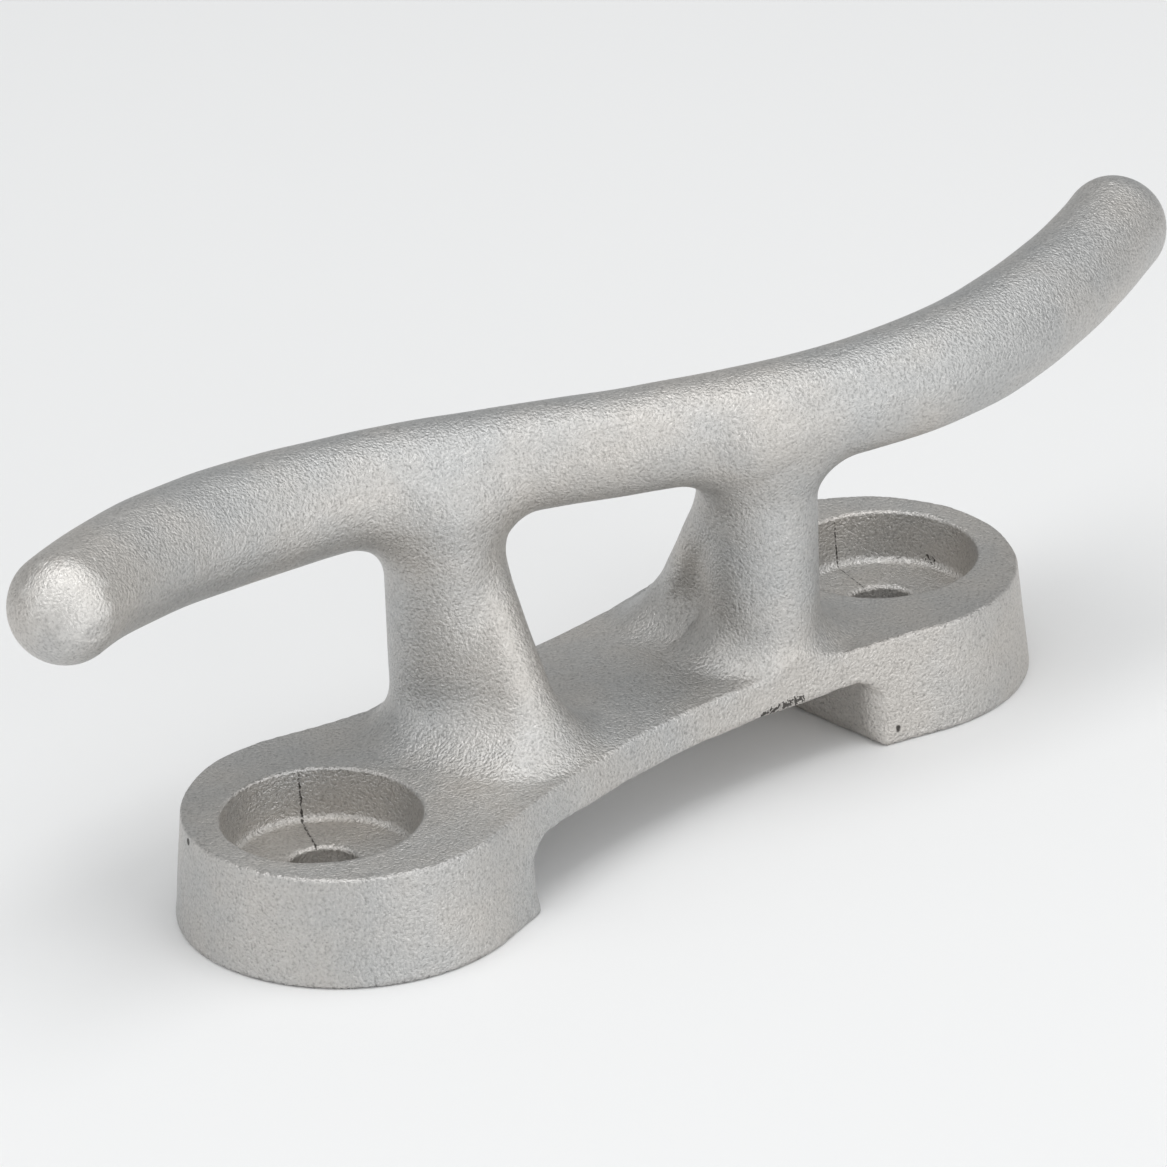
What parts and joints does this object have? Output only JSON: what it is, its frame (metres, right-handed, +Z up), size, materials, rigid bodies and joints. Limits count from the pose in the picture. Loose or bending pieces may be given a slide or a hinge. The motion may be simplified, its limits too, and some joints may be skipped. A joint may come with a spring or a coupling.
{
  "type": "mooring cleat",
  "caption": "Open-base mooring cleat in cast aluminium: a round S-curved horn on posts above a waisted, relieved base with counterbored bolt holes.",
  "frame": {"origin": "on the mounting face, midway between the two bolt holes", "axes": "+X along the line of the bolt holes, +Z up from the mounting face towards the horn, +Y completes the right-handed set; the horn's +X arm swings towards -Y"},
  "size_m": [0.254, 0.0683, 0.0838],
  "materials": {
    "cast_aluminium": "natural sand-cast surface, satin, fine grain"
  },
  "bodies": {
    "root": {"cleat_casting": "cast_aluminium"}
  },
  "joints": []
}
